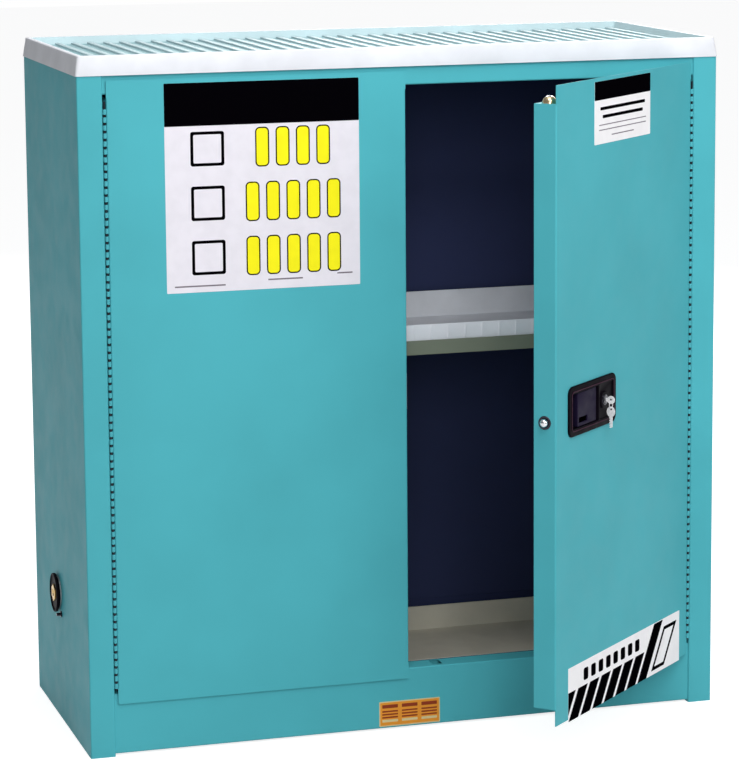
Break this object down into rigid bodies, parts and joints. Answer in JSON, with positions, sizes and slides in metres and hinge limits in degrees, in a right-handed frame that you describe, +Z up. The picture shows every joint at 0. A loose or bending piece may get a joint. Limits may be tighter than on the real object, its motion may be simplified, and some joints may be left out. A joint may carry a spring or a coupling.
{
  "type": "two-door corrosive liquids safety cabinet",
  "caption": "Double-walled sheet steel safety cabinet with hinged double doors, a paddle latch and lock, a shelf with a plastic tray, a raised leak-proof sill and a ribbed work tray on top.",
  "frame": {"origin": "centre of the bounding box's bottom face, with the right-hand door open at 43 degrees", "axes": "+Z up; -Y out of the cabinet's front; +X towards the side with the handle's door"},
  "size_m": [1.11, 0.7998, 1.1485],
  "materials": {
    "teal_enamel": "semi-gloss powder coat",
    "dark_enamel": "semi-gloss powder coat, dark inside",
    "grey_enamel": "semi-gloss powder coat, olive grey",
    "white_plastic": "moulded polyethylene",
    "cream_plastic": "moulded polyethylene",
    "black_plastic": "fine texture",
    "zinc_steel": "zinc plated",
    "bright_chrome": "polished",
    "key_steel": "nickel plated",
    "ground_brass": "plain"
  },
  "bodies": {
    "cabinet": {"side_panel_left": "teal_enamel", "side_panel_right": "teal_enamel", "back_panel": "teal_enamel", "top_panel": "teal_enamel", "base_panel": "teal_enamel", "header_rail": "teal_enamel", "sill_rail": "teal_enamel", "liner_side_left": "dark_enamel", "liner_side_right": "dark_enamel", "liner_back": "dark_enamel", "liner_ceiling": "dark_enamel", "sump_pan": "dark_enamel", "shelf": "grey_enamel", "shelf_brackets": "dark_enamel", "shelf_tray": "white_plastic", "floor_tray": "cream_plastic", "vent_sleeve_left": "zinc_steel", "vent_sleeve_right": "zinc_steel", "flame_screens": "zinc_steel", "ground_stud": "ground_brass", "foot_nuts": "zinc_steel", "left_hinge_frame_leaf": "teal_enamel", "right_hinge_frame_leaf": "teal_enamel", "left_hinge_pin": "zinc_steel", "right_hinge_pin": "zinc_steel"},
    "left_door": {"left_door_skin": "teal_enamel", "left_door_pan": "teal_enamel", "left_hinge_door_leaf": "teal_enamel", "strike_plate": "zinc_steel", "slide_bolt_keepers": "zinc_steel"},
    "right_door": {"right_door_skin": "teal_enamel", "right_door_pan": "teal_enamel", "right_hinge_door_leaf": "teal_enamel", "handle_bezel": "black_plastic", "paddle_pin": "zinc_steel", "cam_axle": "zinc_steel", "side_latch_barrel": "bright_chrome", "rod_guides": "zinc_steel", "lock_cylinder": "bright_chrome"},
    "paddle": {"paddle": "black_plastic"},
    "latch_cam": {"latch_cam": "zinc_steel"},
    "top_latch_rod": {"top_latch_rod": "bright_chrome"},
    "bottom_latch_rod": {"bottom_latch_rod": "bright_chrome"},
    "side_latch_bolt": {"side_latch_bolt": "bright_chrome"},
    "lock_plug": {"lock_plug": "bright_chrome", "lock_key": "key_steel"},
    "spare_key": {"spare_key": "key_steel", "key_ring": "key_steel"},
    "top_slide_bolt": {"top_slide_bolt": "zinc_steel"},
    "bottom_slide_bolt": {"bottom_slide_bolt": "zinc_steel"},
    "work_tray": {"work_tray": "white_plastic"},
    "vent_bung_left": {"vent_bung_left": "black_plastic"},
    "vent_bung_right": {"vent_bung_right": "black_plastic"},
    "levelling_foot_front_left": {"levelling_foot_front_left": "zinc_steel"},
    "levelling_foot_front_right": {"levelling_foot_front_right": "zinc_steel"},
    "levelling_foot_back_left": {"levelling_foot_back_left": "zinc_steel"},
    "levelling_foot_back_right": {"levelling_foot_back_right": "zinc_steel"}
  },
  "joints": [
    {"name": "left_door_hinge", "type": "hinge", "parent": "cabinet", "child": "left_door", "pos_m": [-0.5015, -0.0589, 0.5945], "axis": [0, 0, -1], "range_deg": [0, 170]},
    {"name": "right_door_hinge", "type": "hinge", "parent": "cabinet", "child": "right_door", "pos_m": [0.5015, -0.0589, 0.5945], "axis": [0, 0, 1], "range_deg": [-43, 127]},
    {"name": "paddle_pull", "type": "hinge", "parent": "right_door", "child": "paddle", "pos_m": [0.22837, -0.30266, 0.588], "axis": [0, 0, 1], "range_deg": [0, 30], "stiffness_Nm_per_rad": 0.4, "springref_deg": -22.92},
    {"name": "cam_turn", "type": "hinge", "parent": "right_door", "child": "latch_cam", "pos_m": [0.1942, -0.30854, 0.588], "axis": [0.682, -0.7314, 0], "range_deg": [0, 25.05]},
    {"name": "top_latch_slide", "type": "slide", "parent": "right_door", "child": "top_latch_rod", "axis": [0, 0, -1], "range_m": [0, 0.01212]},
    {"name": "bottom_latch_slide", "type": "slide", "parent": "right_door", "child": "bottom_latch_rod", "axis": [0, 0, 1], "range_m": [0, 0.01217]},
    {"name": "side_latch_slide", "type": "slide", "parent": "right_door", "child": "side_latch_bolt", "axis": [0.7314, 0.682, 0], "range_m": [0, 0.01217]},
    {"name": "lock_turn", "type": "hinge", "parent": "right_door", "child": "lock_plug", "pos_m": [0.2565, -0.28737, 0.59], "axis": [0.682, -0.7314, 0], "range_deg": [0, 90]},
    {"name": "spare_key_swing", "type": "hinge", "parent": "lock_plug", "child": "spare_key", "pos_m": [0.26673, -0.29834, 0.59], "axis": [-0.7314, -0.682, 0], "range_deg": [-5, 60]},
    {"name": "top_slide_bolt_travel", "type": "slide", "parent": "left_door", "child": "top_slide_bolt", "axis": [0, 0, 1], "range_m": [0, 0.02]},
    {"name": "bottom_slide_bolt_travel", "type": "slide", "parent": "left_door", "child": "bottom_slide_bolt", "axis": [0, 0, -1], "range_m": [0, 0.02]},
    {"name": "work_tray_lift", "type": "slide", "parent": "cabinet", "child": "work_tray", "axis": [0, 0, 1], "range_m": [0, 0.08]},
    {"name": "vent_bung_left_pull", "type": "slide", "parent": "cabinet", "child": "vent_bung_left", "axis": [-1, 0, 0], "range_m": [0, 0.06]},
    {"name": "vent_bung_right_pull", "type": "slide", "parent": "cabinet", "child": "vent_bung_right", "axis": [1, 0, 0], "range_m": [0, 0.06]},
    {"name": "levelling_foot_front_left_screw", "type": "slide", "parent": "cabinet", "child": "levelling_foot_front_left", "axis": [0, 0, -1], "range_m": [0, 0.02]},
    {"name": "levelling_foot_front_right_screw", "type": "slide", "parent": "cabinet", "child": "levelling_foot_front_right", "axis": [0, 0, -1], "range_m": [0, 0.02]},
    {"name": "levelling_foot_back_left_screw", "type": "slide", "parent": "cabinet", "child": "levelling_foot_back_left", "axis": [0, 0, -1], "range_m": [0, 0.02]},
    {"name": "levelling_foot_back_right_screw", "type": "slide", "parent": "cabinet", "child": "levelling_foot_back_right", "axis": [0, 0, -1], "range_m": [0, 0.02]}
  ],
  "couplings": [
    {"joint": "paddle_pull", "follows": "top_latch_slide", "rad_per_m": 43.199},
    {"joint": "cam_turn", "follows": "top_latch_slide", "rad_per_m": 35.999},
    {"joint": "bottom_latch_slide", "follows": "top_latch_slide", "ratio": 1},
    {"joint": "side_latch_slide", "follows": "top_latch_slide", "ratio": 1}
  ]
}
